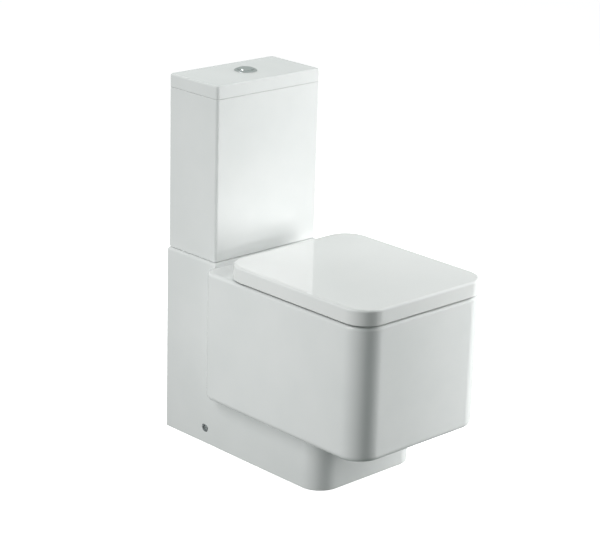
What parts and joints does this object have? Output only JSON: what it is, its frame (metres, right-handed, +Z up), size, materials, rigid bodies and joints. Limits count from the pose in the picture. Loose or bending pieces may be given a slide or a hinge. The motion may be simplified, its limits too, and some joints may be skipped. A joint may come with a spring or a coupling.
{
  "type": "close coupled toilet",
  "caption": "Square white floor-standing toilet with its cistern bolted on the pan, a wrap-over hinged seat and cover, a split push button and working flush and fill valves.",
  "frame": {"origin": "on the floor under the middle of the bounding box", "axes": "+Z up, -Y to the front of the bowl, +X to the right as seen from the front"},
  "size_m": [0.36, 0.63, 0.7962],
  "materials": {
    "ceramic": "white glazed vitreous china, high gloss",
    "seat_plastic": "white moulded thermoset, high gloss",
    "chrome": "bright chrome plate",
    "white_plastic": "moulded, satin",
    "grey_plastic": "moulded, satin",
    "black_rubber": "matt",
    "clear_rubber": "translucent grey silicone, satin",
    "brass": "machined",
    "stainless_steel": "drawn wire and turned bar"
  },
  "bodies": {
    "root": {"pan": "ceramic", "pan_bowl": "ceramic", "pan_trap": "ceramic", "pan_flush_way": "ceramic", "cistern": "ceramic", "flush_valve_body": "white_plastic", "flush_valve_head": "grey_plastic", "flush_valve_washer": "black_rubber", "flush_valve_nut": "grey_plastic", "coupling_gasket": "black_rubber", "fill_valve_body": "white_plastic", "fill_valve_washer": "black_rubber", "fill_valve_nut": "grey_plastic", "coupling_bolt_left": "brass", "coupling_washer_left": "black_rubber", "coupling_wing_nut_left": "brass", "hinge_post_left": "chrome", "hinge_bolt_left": "stainless_steel", "hinge_washer_left": "black_rubber", "hinge_wing_nut_left": "grey_plastic", "floor_bracket_left": "grey_plastic", "side_screw_left": "stainless_steel", "screw_collar_left": "grey_plastic", "coupling_bolt_right": "brass", "coupling_washer_right": "black_rubber", "coupling_wing_nut_right": "brass", "hinge_post_right": "chrome", "hinge_bolt_right": "stainless_steel", "hinge_washer_right": "black_rubber", "hinge_wing_nut_right": "grey_plastic", "floor_bracket_right": "grey_plastic", "side_screw_right": "stainless_steel", "screw_collar_right": "grey_plastic"},
    "lid": {"cistern_lid": "ceramic", "button_bezel": "chrome", "button_housing": "white_plastic", "button_nut": "white_plastic", "full_flush_spring": "stainless_steel", "half_flush_spring": "stainless_steel"},
    "full_button": {"full_flush_button": "chrome", "full_flush_rod": "white_plastic"},
    "half_button": {"half_flush_button": "chrome", "half_flush_rod": "white_plastic"},
    "valve_lift": {"flush_valve_tube": "white_plastic", "flush_valve_seal": "clear_rubber"},
    "float": {"fill_valve_float": "grey_plastic", "fill_valve_link": "stainless_steel"},
    "float_arm": {"fill_valve_arm": "grey_plastic"},
    "seat": {"seat_ring": "seat_plastic", "seat_buffer_front_left": "clear_rubber", "seat_buffer_front_right": "clear_rubber", "seat_buffer_rear_left": "clear_rubber", "seat_buffer_rear_right": "clear_rubber", "hinge_pin_left": "stainless_steel", "hinge_pin_right": "stainless_steel"},
    "cover": {"seat_cover": "seat_plastic", "cover_buffer_front_left": "clear_rubber", "cover_buffer_front_right": "clear_rubber", "cover_buffer_rear_left": "clear_rubber", "cover_buffer_rear_right": "clear_rubber"}
  },
  "joints": [
    {"name": "lid_lift", "type": "slide", "parent": "root", "child": "lid", "axis": [0, 0, 1], "range_m": [0, 0.15]},
    {"name": "full_flush_press", "type": "slide", "parent": "lid", "child": "full_button", "axis": [0, 0, -1], "range_m": [0, 0.006], "stiffness_N_per_m": 800, "springref_m": -0.004, "deforming": ["full_flush_spring"]},
    {"name": "half_flush_press", "type": "slide", "parent": "lid", "child": "half_button", "axis": [0, 0, -1], "range_m": [0, 0.006], "stiffness_N_per_m": 800, "springref_m": -0.004, "deforming": ["half_flush_spring"]},
    {"name": "valve_rise", "type": "slide", "parent": "root", "child": "valve_lift", "axis": [0, 0, 1], "range_m": [0, 0.024]},
    {"name": "float_rise", "type": "slide", "parent": "root", "child": "float", "axis": [0, 0, 1], "range_m": [0, 0.02]},
    {"name": "arm_swing", "type": "hinge", "parent": "root", "child": "float_arm", "pos_m": [0.118, 0.278, 0.6905], "axis": [0, 1, 0], "range_deg": [0, 36]},
    {"name": "seat_hinge", "type": "hinge", "parent": "root", "child": "seat", "pos_m": [0, 0.112, 0.418], "axis": [-1, 0, 0], "range_deg": [0, 93]},
    {"name": "cover_hinge", "type": "hinge", "parent": "seat", "child": "cover", "pos_m": [0, 0.112, 0.418], "axis": [1, 0, 0], "range_deg": [-93, 0]}
  ],
  "couplings": [
    {"joint": "valve_rise", "follows": "full_flush_press", "ratio": 4},
    {"joint": "arm_swing", "follows": "float_rise", "rad_per_m": 30.787}
  ]
}
